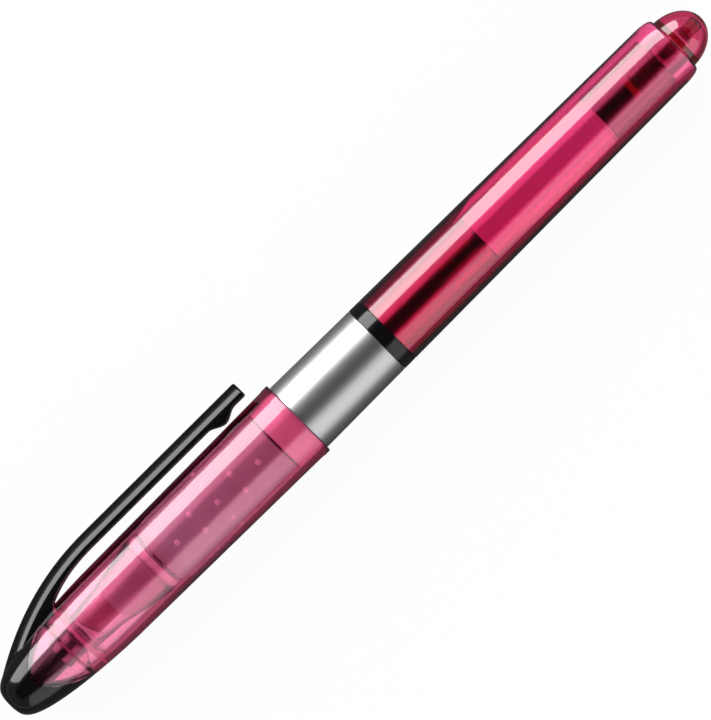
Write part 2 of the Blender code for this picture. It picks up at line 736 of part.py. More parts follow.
def ribbed_seal():
    pitch = SEAL_LENGTH / (SEAL_RIBS - 1 + SEAL_RIB_SHARE)
    outer = [(SEAL_FRONT, 0.0)]
    for rib in range(SEAL_RIBS):
        start = SEAL_FRONT + rib * pitch
        stop = start + pitch * SEAL_RIB_SHARE
        outer += [(start, SLUG_RADIUS), (stop, SLUG_RADIUS)]
        if rib < SEAL_RIBS - 1:
            groove = SLUG_RADIUS - SEAL_GROOVE_DEPTH
            outer += [(stop, groove), (start + pitch, groove)]
    outer.append((outer[-1][0], 0.0))
    turned("ribbed_seal", outer, [], PEN_AXIS, SEAL_CRIMSON, FINE_STEPS)


cap_shell()
cap_nose()
inner_cap()
clip_arm()
nib()
nib_holder()
ring("nib_collar", COLLAR_FRONT, COLLAR_REAR, COLLAR_RADIUS, SECTION_BORE, HOLDER_PINK, INNER_STEPS)
front_section()
grip_sleeve()
metal_sleeve()
ring("trim_ring", RING_FRONT, RING_REAR, BODY_RADIUS, SLEEVE_BORE, GLOSS_BLACK)
collector()
rod("ink_wick", HOLDER_REAR, SPIGOT_REAR, WICK_RADIUS, WICK_CRIMSON, FINE_STEPS)
ring("wick_guide", BARREL_FRONT, SPIGOT_REAR - FIT, FEED_RADIUS, WICK_BORE, SECTION_CRIMSON, INNER_STEPS)
barrel()
rod("ink_charge", SPIGOT_REAR + FIT, STOPPER_FRONT - FIT, TANK_RADIUS, INK_PINK, INNER_STEPS)
tank_stopper()
rod("stopper_slug", SLUG_FRONT, SLUG_FRONT + SLUG_LENGTH, SLUG_RADIUS, RUBBER_BLACK, INNER_STEPS)
ribbed_seal()
end_plug()
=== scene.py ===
"""The looks of a capped liquid-ink highlighter that lies on its side, with the clip towards +Y.

A station is a distance in millimetres along the pen from the tip of its nose, and a radius or a
height is a distance in millimetres from the pen's axis.
"""

import math

import bpy
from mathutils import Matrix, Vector


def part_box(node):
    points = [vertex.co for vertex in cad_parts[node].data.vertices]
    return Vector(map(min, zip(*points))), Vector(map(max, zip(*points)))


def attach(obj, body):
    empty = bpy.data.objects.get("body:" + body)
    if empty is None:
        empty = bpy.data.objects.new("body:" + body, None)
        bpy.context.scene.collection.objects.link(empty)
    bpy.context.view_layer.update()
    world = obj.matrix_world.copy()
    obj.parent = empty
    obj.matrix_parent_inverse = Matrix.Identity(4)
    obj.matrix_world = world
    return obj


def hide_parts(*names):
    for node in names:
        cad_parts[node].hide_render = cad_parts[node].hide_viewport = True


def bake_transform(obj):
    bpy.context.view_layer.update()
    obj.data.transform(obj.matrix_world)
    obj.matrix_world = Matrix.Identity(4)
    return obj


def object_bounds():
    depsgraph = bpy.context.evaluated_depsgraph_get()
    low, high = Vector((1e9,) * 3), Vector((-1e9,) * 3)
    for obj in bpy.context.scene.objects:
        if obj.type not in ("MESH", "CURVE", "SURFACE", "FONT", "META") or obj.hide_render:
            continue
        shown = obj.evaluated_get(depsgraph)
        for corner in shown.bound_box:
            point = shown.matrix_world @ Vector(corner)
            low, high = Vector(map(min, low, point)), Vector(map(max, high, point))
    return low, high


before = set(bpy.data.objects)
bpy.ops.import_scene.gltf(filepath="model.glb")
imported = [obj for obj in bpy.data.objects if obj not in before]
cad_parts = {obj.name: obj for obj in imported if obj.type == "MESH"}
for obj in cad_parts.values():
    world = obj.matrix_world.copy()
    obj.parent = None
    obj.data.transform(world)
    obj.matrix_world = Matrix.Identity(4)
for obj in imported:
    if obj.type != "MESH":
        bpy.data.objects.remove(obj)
cad_low, cad_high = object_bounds()

MM = 0.001

# ---------------------------------------------------------------- sizes

TIP_X = cad_low.x
AXIS_Y = (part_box("barrel")[0].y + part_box("barrel")[1].y) / 2
AXIS_Z = (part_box("barrel")[0].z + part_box("barrel")[1].z) / 2


def front(node):
    """The station of a CAD node's front end."""
    return (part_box(node)[0].x - TIP_X) / MM


def rear(node):
    """The station of a CAD node's rear end."""
    return (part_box(node)[1].x - TIP_X) / MM


def radius(node):
    """The largest radius of a turned CAD node."""
    low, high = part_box(node)
    return (high.z - low.z) / 2 / MM


# Fineness and finish of the meshes
TURN_STEPS = 128
FINE_STEPS = 64
WELD = 0.000001              # metres
SMOOTH_ANGLE = math.radians(42)
EDGE_ANGLE = math.radians(30)
TOUCH = 0.03                 # gap between pieces that touch on the real pen
EDGE_ROUND = 0.12            # on the edges of the larger turned pieces
SMALL_ROUND = 0.08           # on the edges of rings and tubes inside
QUARTER = math.radians(90)

# Cap
CAP_LENGTH = 58.4
CAP_MOUTH_RADIUS = radius("cap_shell")
CAP_SLOPE = 0.0125
BULLET_LENGTH = 20.0
BULLET_POWER = 1.6
BULLET_BLUNTNESS = 4
CAP_WALL = 0.85
CAP_MOUTH_WALL = 1.0
WEB_LENGTH = 3.65            # of the socket that holds the nose's stud
BOSS_WALL = 0.35
WEB_LEAN = 1.6               # the cross wall is a shallow cone
MOUTH_BEAD = 0.07
MOUTH_BEAD_LENGTH = 1.1
MOUTH_BEAD_SLOPE = 0.3
BORE_STEP_BACK = 1.1         # from the grip's front end to where the bore narrows its wall
BORE_STEP_SLOPE = 0.6
WALL_START_AHEAD = 0.5       # of the nose's edge, before the wall is cut to it
NOSE_TO_WALL = 0.06          # gap between the nose's edge and the cap's wall

# The clear cup that seals the nib inside the cap
CUP_FLANGE_LENGTH = 1.25
CUP_NECK_AHEAD = 0.6         # of the nib holder
CUP_END_WALL = 0.5
CUP_RADIUS_FRONT = 3.0
CUP_RADIUS_NECK = 3.35
CUP_RADIUS_MOUTH = 4.9
CUP_MOUTH_LENGTH = 0.9
CUP_MOUTH_TAPER = 0.04
CUP_BORE_FRONT = 2.4
CUP_BORE_NECK = 2.95
CUP_BORE_MOUTH = 4.5

# Nib and its holder
NIB_SLANT = 1.25
NIB_ROUND = 0.5
HOLDER_MOUTH_RADIUS = 2.6
HOLDER_LIP_RADIUS = 2.75
HOLDER_LIP_LENGTH = 0.5
HOLDER_BASE_RADIUS = 4.2
HOLDER_BASE_TAPER = 0.05
HOLDER_BASE_LENGTH = 0.7
HOLDER_SPIGOT_RADIUS = 3.1
HOLDER_BORE = 2.15

# Section, grip and sleeve
SECTION_BORE = 3.4
SECTION_GRIP_RADIUS = 3.9
SECTION_SLEEVE_RADIUS = 4.45
SECTION_SHOULDER_AHEAD = 0.3
GRIP_RADIUS = 4.88
GRIP_BORE = 4.2
GRIP_ROUND = 0.3
NUB_PITCH = 4.07
NUB_TURN = 18.5              # half the degrees between neighbours in a column
NUB_START = 4.5              # degrees from straight above to the middle of the first cluster
NUB_DIAMOND = (1, 2, 3, 2, 1)
NUB_CLUSTERS = 3
NUB_ROOT = 0.5
NUB_HEIGHT = 0.27
NUB_SQUASH = 1.6             # half height of the ball that a nub is cut from, in nub heights
NUB_SINK = 0.6               # depth of that ball's middle, in nub heights
NUB_SUNK = 0.25              # depth of a nub's flat foot in the grip
SLEEVE_STEP_BACK = 0.06      # from the cap's mouth
SLEEVE_BORE = 4.75
SEAT_RADIUS = 5.2
SEAT_ROUND = 0.1
SLEEVE_FRONT_RADIUS = 5.91
SLEEVE_REAR_RADIUS = 5.76

# Barrel, its contents and the dome
BARREL_TAPER = 0.48
BARREL_NECK = 3.4
BARREL_ROUND_LENGTH = 2.5
BARREL_ROUND_DROP = 0.63
BARREL_EDGE_ROUND = 0.1
BARREL_BACK_WALL = 0.45
GUIDE_BORE = 1.8
STOPPER_FRONT_WALL = 0.4
STOPPER_TO_SLUG = 0.1
SLUG_ROUND = 0.35
RIB_COUNT = 5
RIB_SHARE = 0.6              # of the pitch
RIB_GROOVE = 0.25
DOME_RADIUS = 4.24
DOME_WALL = 0.62
DOME_BASE_WALL = 0.8
DOME_NECK_RADIUS = 3.1
DOME_NECK_BORE = 2.4
POST_RADIUS = 1.1
POST_FLARE = 2.2
POST_FLARE_LENGTH = 1.4
POST_START = 1.5
GUIDE_STEP = 87.6
GUIDE_TAIL_RADIUS = 2.2

# Nose and clip
NOSE_EDGE = 5.1
SADDLE_SWEEP = 0.22
NOSE_WALL = 0.9
NOSE_SOLID = 3.0
SKIRT_END = 14.5
NOSE_START = 0.02            # where the rounded outline leaves the flat spot at the tip
STUD_RADIUS = 2.0
STUD_START = 2.0
STUD_ROUND = 0.15
CLIP_WIDTH = 4.2
CLIP_THICKNESS = 2.49
CLIP_SLOT = 1.27
CLIP_START = 0.9
CLIP_END = 55.3
CLIP_BEND_END = 25.0
CLIP_BEND_DROP = 7.82
CLIP_BEND_POWER = 2.118
CLIP_LIFT_START = 14.4
CLIP_LIFT_END = 24.7
CLIP_LIFT_POWER = 2.5
CLIP_SHOULDER_ROUND = 1.7
CLIP_SHOULDER_PROFILE = 0.30  # between a flat chamfer, 0.25, and a round, 0.5
CLIP_UNDER_ROUND = 0.3
CLIP_END_ROUND = 0.3
CLIP_ROOT_DEPTH = 2.6
CLIP_FOOT = 50.4
FOOT_HALF_LENGTH = 2.7
FOOT_GAP = 0.3
ROOT_BELOW_NOSE = 0.1        # depth of the root's underside below the nose's wall
ROOM_PAST_CAP = 0.05         # how far the room for the cap's wall stands out of the cap
ROOM_LENGTH = 8.0            # of that room behind the rounded front
CUTTER_MARGIN = 1.5


def spread(first, last, count):
    """count + 1 values from first to last, both included."""
    return [first + (last - first) * i / count for i in range(count + 1)]


def cap_radius(station):
    """The cap's outside: a slight taper that rounds down to the tip of the nose."""
    line = CAP_MOUTH_RADIUS - CAP_SLOPE * (CAP_LENGTH - station)
    left = max(0.0, 1 - station / BULLET_LENGTH)
    return line * (1 - left**BULLET_POWER) ** (1 / BULLET_BLUNTNESS)


def cap_outline(first, last, count):
    """(station, radius) along the cap's rounded front, closer together where it turns fastest."""
    def fraction(station):
        return (1 - max(0.0, 1 - station / BULLET_LENGTH) ** BULLET_POWER) ** (1 / BULLET_BLUNTNESS)

    points = []
    for share in spread(fraction(first), fraction(last), count):
        left = (1 - share**BULLET_BLUNTNESS) ** (1 / BULLET_POWER)
        station = BULLET_LENGTH * (1 - left)
        points.append((station, cap_radius(station)))
    return points


def inset_by(points, wall):
    """The inside of a wall that follows an outline."""
    return [(station, r - wall) for station, r in points]


CLIP_INNER = cap_radius(CLIP_FOOT) + CLIP_SLOT
CLIP_OUTER = CLIP_INNER + CLIP_THICKNESS


def clip_outer(station):
    left = max(0.0, 1 - station / CLIP_BEND_END)
    return CLIP_OUTER - CLIP_BEND_DROP * left**CLIP_BEND_POWER


def clip_inner(station):
    """The underside: it lies in the cap at first, lifts off it, and dips at the foot."""
    left = max(0.0, (CLIP_LIFT_END - station) / (CLIP_LIFT_END - CLIP_LIFT_START))
    height = CLIP_INNER - (CLIP_INNER - cap_radius(CLIP_LIFT_START)) * left**CLIP_LIFT_POWER
    share = (station - CLIP_FOOT) / FOOT_HALF_LENGTH
    if abs(share) < 1:
        depth = CLIP_SLOT - FOOT_GAP
        height -= depth * (0.5 + 0.5 * math.cos(math.pi * share))
    return height


def clip_section(station):
    """The bar's underside and top. In front of the lift the underside is inside the nose."""
    high = clip_outer(station)
    if station < CLIP_LIFT_START:
        return min(high - CLIP_ROOT_DEPTH, cap_radius(station) - NOSE_WALL - ROOT_BELOW_NOSE), high
    return clip_inner(station), high


# ---------------------------------------------------------------- modelling

def deselect():
    if bpy.context.object and bpy.context.object.mode != "OBJECT":
        bpy.ops.object.mode_set(mode="OBJECT")
    bpy.ops.object.select_all(action="DESELECT")


def only(piece):
    deselect()
    piece.select_set(True)
    bpy.context.view_layer.objects.active = piece


def applied(piece, kind, **settings):
    """Adds a modifier, sets it and applies it."""
    only(piece)
    modifier = piece.modifiers.new(kind.lower(), kind)
    for setting, value in settings.items():
        setattr(modifier, setting, value)
    bpy.ops.object.modifier_apply(modifier=modifier.name)


def point_at(name, place):
    """A new mesh in edit mode that is one point."""
    deselect()
    bpy.ops.mesh.primitive_plane_add(size=MM, location=(0, 0, 0))
    piece = bpy.context.object
    piece.name = name
    bpy.ops.object.mode_set(mode="EDIT")
    bpy.ops.mesh.merge(type="CENTER")
    bpy.ops.transform.translate(value=place)
    return piece


def drawn(outline):
    """Extrudes the selected point along the rest of an outline of (x, y, z)."""
    for start, stop in zip(outline, outline[1:]):
        step = [b - a for a, b in zip(start, stop)]
        bpy.ops.mesh.extrude_vertices_move(TRANSFORM_OT_translate={"value": step})


def turned(name, outline, steps=TURN_STEPS, fillet=0.0, segments=3):
    """Spins an outline of (station, radius) round the pen's axis, and rounds its edges."""
    places = [(TIP_X + x * MM, AXIS_Y, AXIS_Z + r * MM) for x, r in outline]
    piece = point_at(name, places[0])
    drawn(places)
    bpy.ops.mesh.select_all(action="SELECT")
    bpy.ops.mesh.spin(steps=steps, angle=2 * math.pi, center=(0, AXIS_Y, AXIS_Z), axis=(1, 0, 0))
    bpy.ops.mesh.select_all(action="SELECT")
    bpy.ops.mesh.remove_doubles(threshold=WELD)
    bpy.ops.mesh.normals_make_consistent(inside=False)
    bpy.ops.object.mode_set(mode="OBJECT")
    if fillet:
        applied(
            piece, "BEVEL", width=fillet * MM, segments=segments, limit_method="ANGLE",
            angle_limit=EDGE_ANGLE, use_clamp_overlap=True,
        )
    return piece


def ring_outline(inner, outer):
    """A closed outline from an inner and an outer stretch that both run front to rear."""
    return outer + list(reversed(inner)) + [outer[0]]


def slab(name, outline):
    """A cutter: an outline of (station, height), extruded through the pen from side to side."""
    reach = CAP_MOUTH_RADIUS + CUTTER_MARGIN
    places = [
        (TIP_X + x * MM, AXIS_Y + y * MM, AXIS_Z - reach * MM) for x, y in outline
    ]
    piece = point_at(name, places[0])
    drawn(places)
    bpy.ops.mesh.select_all(action="SELECT")
    bpy.ops.mesh.edge_face_add()
    bpy.ops.mesh.extrude_region_move(TRANSFORM_OT_translate={"value": (0, 0, 2 * reach * MM)})
    bpy.ops.mesh.select_all(action="SELECT")
    bpy.ops.mesh.normals_make_consistent(inside=False)
    bpy.ops.object.mode_set(mode="OBJECT")
    return piece


def combined(piece, other, operation):
    """Joins or cuts a piece with another, which is used up, and cleans the result."""
    applied(piece, "BOOLEAN", object=other, operation=operation, solver="EXACT")
    bpy.data.objects.remove(other, do_unlink=True)
    only(piece)
    bpy.ops.object.mode_set(mode="EDIT")
    bpy.ops.mesh.select_all(action="SELECT")
    bpy.ops.mesh.remove_doubles(threshold=WELD)
    bpy.ops.mesh.normals_make_consistent(inside=False)
    bpy.ops.object.mode_set(mode="OBJECT")


def finished(piece, body, finish, slot, *nodes):
    """Shades a piece, gives it its finish, fixes it to the body, and hides the CAD nodes it stands
    for.
    """
    only(piece)
    bpy.ops.object.shade_smooth_by_angle(angle=SMOOTH_ANGLE)
    piece.data.materials.clear()
    piece.data.materials.append(finish)
    if body:
        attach(piece, body)
    if nodes:
        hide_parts(*nodes)
    return piece


# ---------------------------------------------------------------- finishes

def linear(red, green, blue):
    """A colour written as 0 to 255 display values, in the linear values that a shader takes."""
    def channel(value):
        value /= 255
        return value / 12.92 if value <= 0.04045 else ((value + 0.055) / 1.055) ** 2.4

    return (channel(red), channel(green), channel(blue), 1.0)


class Wire:
    """An output socket that turns an expression into Math nodes."""

    def __init__(self, finish, socket):
        self.finish = finish
        self.socket = socket

    def maths(self, operation, *values):
        return self.finish.node("Math", {"operation": operation}, *values)

    def __add__(self, other):
        return self.maths("ADD", self, other)

    def __sub__(self, other):
        return self.maths("SUBTRACT", self, other)

    def __mul__(self, other):
        return self.maths("MULTIPLY", self, other)

    __radd__ = __add__
    __rmul__ = __mul__


class Finish:
    """A material, and the nodes that make it."""

    def __init__(self, name, **constants):
        self.material = bpy.data.materials.new(name)
        self.material.use_nodes = True
        self.tree = self.material.node_tree
        self.shader = self.tree.nodes["Principled BSDF"]
        for socket, value in constants.items():
            self.shader.inputs[socket.replace("_", " ")].default_value = value

    def feed(self, socket, value):
        if isinstance(value, Wire):
            self.tree.links.new(value.socket, socket)
        else:
            socket.default_value = value

    def node(self, kind, settings, *values, **named):
        """Adds a node. Its settings come first, then the values or links of its sockets."""
        made = self.tree.nodes.new("ShaderNode" + kind)
        for setting, value in settings.items():
            setattr(made, setting, value)
        for socket, value in zip(made.inputs, values):
            self.feed(socket, value)
        for socket, value in named.items():
            self.feed(made.inputs[socket.replace("_", " ")], value)
        return Wire(self, next(output for output in made.outputs if output.enabled))

    def place(self, stretch=(1, 1, 1)):
        """Object coordinates in millimetres, stretched along each axis."""
        coordinates = self.tree.nodes.new("ShaderNodeTexCoord")
        source = Wire(self, coordinates.outputs["Object"])
        scale = [1 / MM / part for part in stretch]
        return self.node("Mapping", {}, Vector=source, Scale=scale)

    def noise(self, size, stretch=(1, 1, 1), detail=2.0):
        """Soft noise from 0 to 1, with grains of about this size in millimetres."""
        return self.node(
            "TexNoise", {}, Vector=self.place(stretch), Scale=1 / size, Detail=detail
        )

    def blend(self, first, second, share):
        """Mixes two colours."""
        made = self.tree.nodes.new("ShaderNodeMix")
        made.data_type = "RGBA"
        self.feed(made.inputs["Factor"], share)
        colours = [socket for socket in made.inputs if socket.type == "RGBA"]
        self.feed(colours[0], first)
        self.feed(colours[1], second)
        return Wire(self, next(o for o in made.outputs if o.type == "RGBA"))

    def bump(self, height, depth):
        """Raises the surface by height times depth, in millimetres."""
        normal = self.node("Bump", {}, Height=height, Distance=depth * MM)
        self.feed(self.shader.inputs["Normal"], normal)

    def set(self, **values):
        for socket, value in values.items():
            self.feed(self.shader.inputs[socket.replace("_", " ")], value)

    def absorb(self, colour, density):
        """Colours light by the way it goes through the piece. Density is in 1/m."""
        volume = self.tree.nodes.new("ShaderNodeVolumeAbsorption")
        volume.inputs["Color"].default_value = colour
        volume.inputs["Density"].default_value = density
        output = self.tree.nodes["Material Output"]
        self.tree.links.new(volume.outputs["Volume"], output.inputs["Volume"])


CLEAR_IOR = 1.52
CLEAR_CLOUD = 3.0            # sizes of the grains in the finishes, in millimetres
CLEAR_SPECK = 0.6
CLEAR_WAVE = 2.2
CLEAR_SWING = 0.04           # of the roughness
ABSORB_MARGIN = 1.001        # keeps every part of the absorbed colour above 0
MOULD_CLOUD = 4.0
MOULD_SHARE = 1.4
MOULD_SWING = 0.08
FLAKE_SIZE = 0.09
FLAKE_DEPTH = 0.003
TURNING_SIZE = 0.12          # of the fine lines round the sleeve
SILVER_ROUGHNESS = 0.31
SILVER_SWING = 0.1


def clear_plastic(name, tint, deep, through, wall, roughness, waviness=0.004, coat=1.0):
    """Moulded see-through plastic. through is what a wall of this thickness lets past."""
    finish = Finish(
        name, Transmission_Weight=1.0, IOR=CLEAR_IOR, Coat_Weight=coat, Coat_Roughness=0.1
    )
    cloud = finish.noise(CLEAR_CLOUD, (3, 1, 1))
    finish.set(
        Base_Color=finish.blend(tint, deep, cloud),
        Roughness=roughness + CLEAR_SWING * finish.noise(CLEAR_SPECK),
    )
    finish.bump(finish.noise(CLEAR_WAVE, (4, 1, 1), 1.0), waviness)
    losses = [-math.log(part) / (wall * MM) for part in through]
    density = max(losses) * ABSORB_MARGIN
    finish.absorb([1 - loss / density for loss in losses] + [1.0], density)
    return finish.material


def moulded(name, colour, deep, roughness, grain=0.25, depth=0.004, **constants):
    """Solid moulded plastic or rubber with a fine grain."""
    finish = Finish(name, **constants)
    speck = finish.noise(grain, detail=3.0)
    cloud = finish.noise(MOULD_CLOUD)
    finish.set(
        Base_Color=finish.blend(colour, deep, cloud * speck * MOULD_SHARE),
        Roughness=roughness + MOULD_SWING * (cloud - 0.5),
    )
    finish.bump(speck, depth)
    return finish.material


CAP_PINK = clear_plastic(
    "cap_pink", linear(255, 238, 246), linear(255, 230, 241), (0.935, 0.54, 0.69), CAP_WALL, 0.05
)
INNER_CLEAR = clear_plastic(
    "inner_cap_clear", linear(255, 250, 252), linear(255, 244, 248), (0.99, 0.95, 0.97), 0.4, 0.12,
    coat=0.0,
)
BARREL_MAGENTA = clear_plastic(
    "barrel_magenta", linear(255, 232, 243), linear(255, 224, 239), (0.975, 0.46, 0.67), 0.8, 0.04
)
PLUG_MAGENTA = clear_plastic(
    "plug_magenta", linear(255, 232, 243), linear(255, 224, 239), (0.74, 0.18, 0.34), 0.8, 0.04
)
INK_PINK = clear_plastic(
    "ink_pink", linear(255, 236, 244), linear(255, 230, 240), (0.93, 0.78, 0.86), 2.0, 0.02, 0.0
)
SECTION_CRIMSON = clear_plastic(
    "section_crimson", linear(250, 190, 214), linear(240, 170, 198), (0.82, 0.20, 0.37), 1.2, 0.10
)
GLOSS_BLACK = moulded(
    "gloss_black", linear(9, 9, 11), linear(16, 16, 19), 0.10, 0.5, 0.0015, IOR=CLEAR_IOR
)
STUD_BLACK = moulded("stud_black", linear(16, 3, 7), linear(24, 6, 11), 0.35)
# The nubs are near white, far lighter than the grip rubber they stand on. This is a painted
# highlight that stands for their shine.
DOT_PAINTED_HIGHLIGHT = moulded("dot_painted_highlight", linear(254, 252, 253), linear(244, 240, 242), 0.14, 0.12, 0.002)
GRIP_GREY = moulded("grip_grey", linear(198, 193, 196), linear(178, 173, 177), 0.45, 0.12, 0.008)
HOLDER_PINK = moulded("holder_pink", linear(254, 232, 238), linear(250, 218, 228), 0.3)
SEAT_PALE = moulded("seat_pale", linear(250, 214, 224), linear(244, 200, 214), 0.35)
FELT_PINK = moulded("felt_pink", linear(246, 168, 192), linear(236, 140, 172), 0.9, 0.15, 0.05)
WICK_CRIMSON = moulded("wick_crimson", linear(38, 3, 12), linear(24, 2, 8), 0.8, 0.2, 0.03)
STOPPER_CRIMSON = clear_plastic(
    "stopper_crimson", linear(250, 190, 214), linear(240, 170, 198), (0.80, 0.16, 0.32), 1.2, 0.12
)
RUBBER_BLACK = moulded("rubber_black", linear(8, 2, 4), linear(16, 4, 7), 0.5)
SEAL_CRIMSON = moulded("seal_crimson", linear(150, 34, 62), linear(120, 22, 48), 0.4)


def silver_finish():
    """Satin silver lacquer: metal flakes under a clear coat."""
    finish = Finish("silver", Metallic=1.0, Coat_Weight=0.25)
    flakes = finish.noise(FLAKE_SIZE, detail=1.0)
    turning = finish.noise(TURNING_SIZE, (1, 12, 12))
    finish.set(
        Base_Color=finish.blend(linear(216, 216, 218), linear(194, 194, 197), flakes),
        Roughness=SILVER_ROUGHNESS + SILVER_SWING * turning,
    )
    finish.bump(flakes, FLAKE_DEPTH)
    return finish.material


SILVER = silver_finish()


# ---------------------------------------------------------------- cap

def saddle(gap):
    """Everything in front of the nose's swept edge, as an outline for a slab."""
    reach = CAP_MOUTH_RADIUS + CUTTER_MARGIN
    edge = [
        (NOSE_EDGE + SADDLE_SWEEP * y * y + gap * math.hypot(1, 2 * SADDLE_SWEEP * y), y)
        for y in spread(-reach, reach, 48)
    ]
    return [(-reach, -reach)] + edge + [(-reach, reach)]


def cap_wall():
    start = NOSE_EDGE - WALL_START_AHEAD
    bore_step = front("grip_sleeve") + BORE_STEP_BACK
    web_rear = front("inner_cap") - FOOT_GAP
    web_front = web_rear - WEB_LENGTH
    bead = CAP_LENGTH - MOUTH_BEAD_LENGTH
    outer = cap_outline(start, BULLET_LENGTH, 26) + [
        (bead - MOUTH_BEAD_SLOPE, CAP_MOUTH_RADIUS - MOUTH_BEAD),
        (bead, CAP_MOUTH_RADIUS),
        (CAP_LENGTH, CAP_MOUTH_RADIUS),
    ]
    stud_hole = STUD_RADIUS + TOUCH
    boss = stud_hole + BOSS_WALL
    inner = inset_by(cap_outline(start, web_rear - WEB_LEAN - BOSS_WALL, 14), CAP_WALL)
    inner += [(web_rear - BOSS_WALL, boss), (web_front, boss)]
    inner += [(web_front, stud_hole), (web_rear, stud_hole)]
    inner += inset_by(cap_outline(web_rear - WEB_LEAN, BULLET_LENGTH, 10), CAP_WALL)
    inner += [
        (bore_step, cap_radius(bore_step) - CAP_WALL),
        (bore_step + BORE_STEP_SLOPE, CAP_MOUTH_RADIUS - CAP_MOUTH_WALL),
        (CAP_LENGTH, CAP_MOUTH_RADIUS - CAP_MOUTH_WALL),
    ]
    wall = turned("cap_wall", ring_outline(inner, outer), fillet=EDGE_ROUND)
    combined(wall, slab("nose_room", saddle(NOSE_TO_WALL)), "DIFFERENCE")
    finished(wall, "cap", CAP_PINK, "cap_pink", "cap_shell")


def clip_bar():
    """The clip's bar, extruded from section to section. rounded_bar rounds its long edges."""
    stations = spread(CLIP_START, CLIP_BEND_END, 26)
    stations += spread(CLIP_BEND_END, CLIP_FOOT - FOOT_HALF_LENGTH, 10)[1:]
    stations += spread(CLIP_FOOT - FOOT_HALF_LENGTH, CLIP_FOOT + FOOT_HALF_LENGTH, 14)[1:]
    stations.append(CLIP_END)

    deselect()
    bpy.ops.mesh.primitive_plane_add(size=1, location=(0, 0, 0), rotation=(0, QUARTER, 0))
    bar = bpy.context.object
    bar.name = "clip_bar"
    bpy.ops.object.transform_apply(location=True, rotation=True, scale=True)
    bpy.ops.object.mode_set(mode="EDIT")
    low, high = clip_section(stations[0])
    bpy.ops.transform.resize(value=(1, (high - low) * MM, CLIP_WIDTH * MM))
    where = Vector((TIP_X + stations[0] * MM, AXIS_Y + (high + low) / 2 * MM, AXIS_Z))
    bpy.ops.transform.translate(value=where)
    for station in stations[1:]:
        new_low, new_high = clip_section(station)
        there = Vector((TIP_X + station * MM, AXIS_Y + (new_high + new_low) / 2 * MM, AXIS_Z))
        bpy.ops.mesh.extrude_region_move(TRANSFORM_OT_translate={"value": there - where})
        bpy.ops.transform.resize(
            value=(1, (new_high - new_low) / (high - low), 1), center_override=there
        )
        low, high, where = new_low, new_high, there
    bpy.ops.mesh.select_all(action="SELECT")
    bpy.ops.mesh.normals_make_consistent(inside=False)
    bpy.ops.object.mode_set(mode="OBJECT")
    return bar


def rounded_bar(bar):
    """Rounds the bar's upper long edges, its lower ones, and then the rim of its free end."""
    half = CLIP_WIDTH / 2 * MM
    last = TIP_X + CLIP_END * MM

    def chosen(wanted, width, segments, profile=0.5):
        only(bar)
        for edge in bar.data.edges:
            ends = [bar.data.vertices[i].co for i in edge.vertices]
            edge.select = wanted(*ends)
        for part in [*bar.data.vertices, *bar.data.polygons]:
            part.select = False
        tools = bpy.context.tool_settings
        tools.mesh_select_mode = (False, True, False)
        bpy.ops.object.mode_set(mode="EDIT")
        bpy.ops.mesh.bevel(
            offset=width * MM, segments=segments, profile=profile, affect="EDGES",
            clamp_overlap=False,
        )
        bpy.ops.object.mode_set(mode="OBJECT")
        tools.mesh_select_mode = (True, False, False)

    def share(a):
        """How far up its section a point on one of the bar's sides is, or None off the sides."""
        low, high = clip_section((a.x - TIP_X) / MM)
        if abs(abs(a.z - AXIS_Z) - half) < WELD:
            return ((a.y - AXIS_Y) / MM - low) / (high - low)
        return None

    def along(a, b, level):
        shares = [share(a), share(b)]
        return None not in shares and abs(a.x - b.x) > WELD and abs(a.z - b.z) < WELD and all(
            abs(value - level) < 0.1 for value in shares
        )

    def upper(a, b):
        return along(a, b, 1)

    def lower(a, b):
        return along(a, b, 0)

    def end(a, b):
        return abs(a.x - last) < WELD and abs(b.x - last) < WELD

    chosen(upper, CLIP_SHOULDER_ROUND, 10, CLIP_SHOULDER_PROFILE)
    chosen(lower, CLIP_UNDER_ROUND, 3)
    chosen(end, CLIP_END_ROUND, 6)


def cap_room():
    """A cutter for what the cap's wall takes up behind the nose's swept edge."""
    room_end = BULLET_LENGTH + ROOM_LENGTH
    around = [(x, r + ROOM_PAST_CAP) for x, r in cap_outline(NOSE_SOLID, room_end, 30)]
    room = turned("cap_room", [(NOSE_SOLID, 0.0)] + around + [(around[-1][0], 0.0)])
    combined(room, slab("nose_side", saddle(0.0)), "DIFFERENCE")
    return room


def nose_and_clip():
    outer = [(0.0, 0.0)] + cap_outline(NOSE_START, SKIRT_END, 44)
    inner = [(NOSE_SOLID, 0.0)]
    inner += inset_by(cap_outline(NOSE_SOLID, SKIRT_END, 16), NOSE_WALL)
    nose = turned("nose_and_clip", outer + list(reversed(inner)))
    combined(nose, cap_room(), "DIFFERENCE")
    bar = clip_bar()
    rounded_bar(bar)
    combined(bar, cap_room(), "DIFFERENCE")
    combined(nose, bar, "UNION")
    finished(nose, None, GLOSS_BLACK, "gloss_black", "cap_nose", "clip_arm")
    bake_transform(nose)


def nose_stud():
    end = front("inner_cap") - FOOT_GAP
    outline = [(STUD_START, 0.0), (STUD_START, STUD_RADIUS), (end, STUD_RADIUS), (end, 0.0)]
    finished(
        turned("nose_stud", outline, FINE_STEPS, STUD_ROUND), "cap", STUD_BLACK, "gloss_black"
    )


